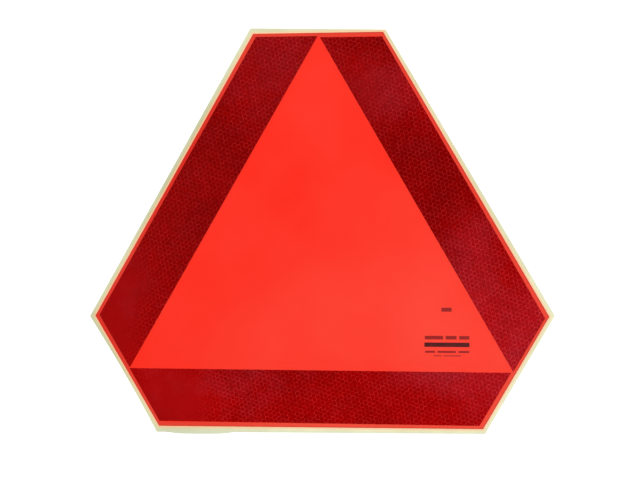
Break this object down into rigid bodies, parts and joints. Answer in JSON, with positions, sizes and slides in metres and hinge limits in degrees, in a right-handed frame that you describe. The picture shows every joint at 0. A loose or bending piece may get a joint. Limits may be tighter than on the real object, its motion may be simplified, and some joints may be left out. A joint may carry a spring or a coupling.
{
  "type": "slow moving vehicle sign",
  "caption": "Self-adhesive rear marking sign for slow vehicles: a fluorescent cut-off triangle edged with dark red honeycomb reflective strips, on its backing paper.",
  "frame": {"origin": "on the underside of the backing paper, straight below the middle of the bright triangle", "axes": "+Z out of the sign's face, +Y towards the top of the sign, +X to the right as the sign is read"},
  "size_m": [0.4216, 0.3689, 0.0009],
  "materials": {
    "backing_paper": "smooth, slightly waxy pale green paper",
    "fluorescent_film": "smooth glossy fluorescent orange-red film",
    "reflective_film": "glossy dark red film with a fine honeycomb of lighter seal lines"
  },
  "bodies": {
    "root": {"backing_paper": "backing_paper", "fluorescent_sheet": "fluorescent_film", "left_reflective_strip": "reflective_film", "right_reflective_strip": "reflective_film", "bottom_reflective_strip": "reflective_film"}
  },
  "joints": []
}
